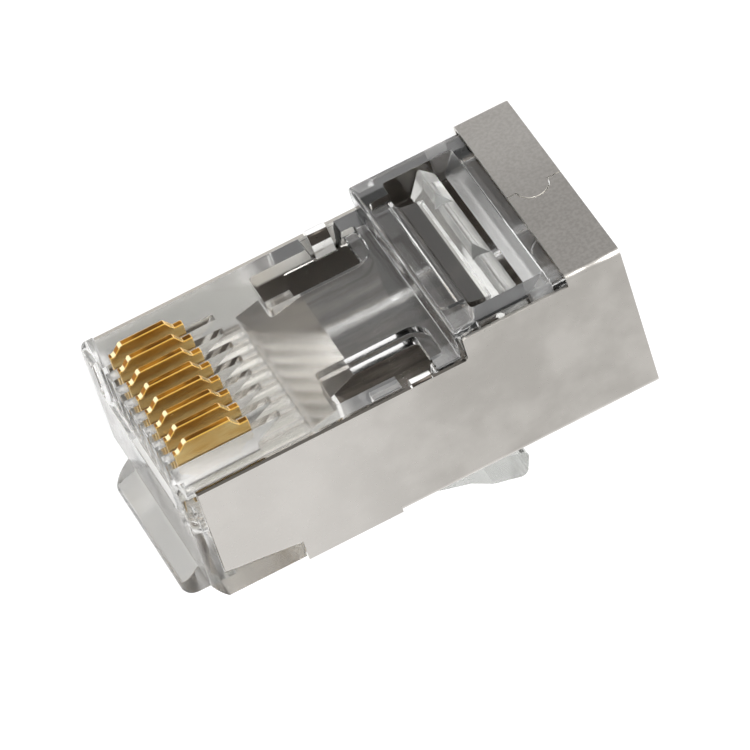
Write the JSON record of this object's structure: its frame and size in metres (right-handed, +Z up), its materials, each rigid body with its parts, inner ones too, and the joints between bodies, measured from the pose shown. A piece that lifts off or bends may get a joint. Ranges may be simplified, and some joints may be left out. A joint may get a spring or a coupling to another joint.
{
  "type": "modular plug",
  "caption": "Shielded clear modular plug, uncrimped: gold contacts in a comb, folded metal shield with a closed collar, sprung latch lever under the nose.",
  "frame": {"origin": "middle of the box round the plug, at the level of the surface that it lies on", "axes": "+Z up as the plug lies on one side plate; +X from the cable entry to the nose; -Y towards the side with the contacts, +Y towards the latch."},
  "size_m": [0.0224, 0.0138, 0.0117],
  "materials": {
    "clear_plastic": "clear moulded polycarbonate",
    "plated_shield": "satin nickel-plated sheet",
    "gold_contact": "gold-plated blade"
  },
  "bodies": {
    "plug_body": {"housing": "clear_plastic", "shield": "plated_shield"},
    "latch": {"latch_lever": "clear_plastic"},
    "relief_bar": {"strain_relief_bar": "clear_plastic"},
    "blade_1": {"contact_1": "gold_contact"},
    "blade_2": {"contact_2": "gold_contact"},
    "blade_3": {"contact_3": "gold_contact"},
    "blade_4": {"contact_4": "gold_contact"},
    "blade_5": {"contact_5": "gold_contact"},
    "blade_6": {"contact_6": "gold_contact"},
    "blade_7": {"contact_7": "gold_contact"},
    "blade_8": {"contact_8": "gold_contact"}
  },
  "joints": [
    {"name": "latch_flex", "type": "hinge", "parent": "plug_body", "child": "latch", "pos_m": [0.00887, 0.00142, 0.00584], "axis": [0, 0, 1], "range_deg": [0, 14], "stiffness_Nm_per_rad": 0.4},
    {"name": "relief_fold", "type": "hinge", "parent": "plug_body", "child": "relief_bar", "pos_m": [-0.00453, -0.00582, 0.00584], "axis": [0, 0, -1], "range_deg": [0, 25]},
    {"name": "contact_press_1", "type": "slide", "parent": "plug_body", "child": "blade_1", "axis": [0, 1, 0], "range_m": [0, 0.00095]},
    {"name": "contact_press_2", "type": "slide", "parent": "plug_body", "child": "blade_2", "axis": [0, 1, 0], "range_m": [0, 0.00095]},
    {"name": "contact_press_3", "type": "slide", "parent": "plug_body", "child": "blade_3", "axis": [0, 1, 0], "range_m": [0, 0.00095]},
    {"name": "contact_press_4", "type": "slide", "parent": "plug_body", "child": "blade_4", "axis": [0, 1, 0], "range_m": [0, 0.00095]},
    {"name": "contact_press_5", "type": "slide", "parent": "plug_body", "child": "blade_5", "axis": [0, 1, 0], "range_m": [0, 0.00095]},
    {"name": "contact_press_6", "type": "slide", "parent": "plug_body", "child": "blade_6", "axis": [0, 1, 0], "range_m": [0, 0.00095]},
    {"name": "contact_press_7", "type": "slide", "parent": "plug_body", "child": "blade_7", "axis": [0, 1, 0], "range_m": [0, 0.00095]},
    {"name": "contact_press_8", "type": "slide", "parent": "plug_body", "child": "blade_8", "axis": [0, 1, 0], "range_m": [0, 0.00095]}
  ],
  "couplings": [
    {"joint": "contact_press_2", "follows": "contact_press_1", "ratio": 1},
    {"joint": "contact_press_3", "follows": "contact_press_1", "ratio": 1},
    {"joint": "contact_press_4", "follows": "contact_press_1", "ratio": 1},
    {"joint": "contact_press_5", "follows": "contact_press_1", "ratio": 1},
    {"joint": "contact_press_6", "follows": "contact_press_1", "ratio": 1},
    {"joint": "contact_press_7", "follows": "contact_press_1", "ratio": 1},
    {"joint": "contact_press_8", "follows": "contact_press_1", "ratio": 1}
  ]
}
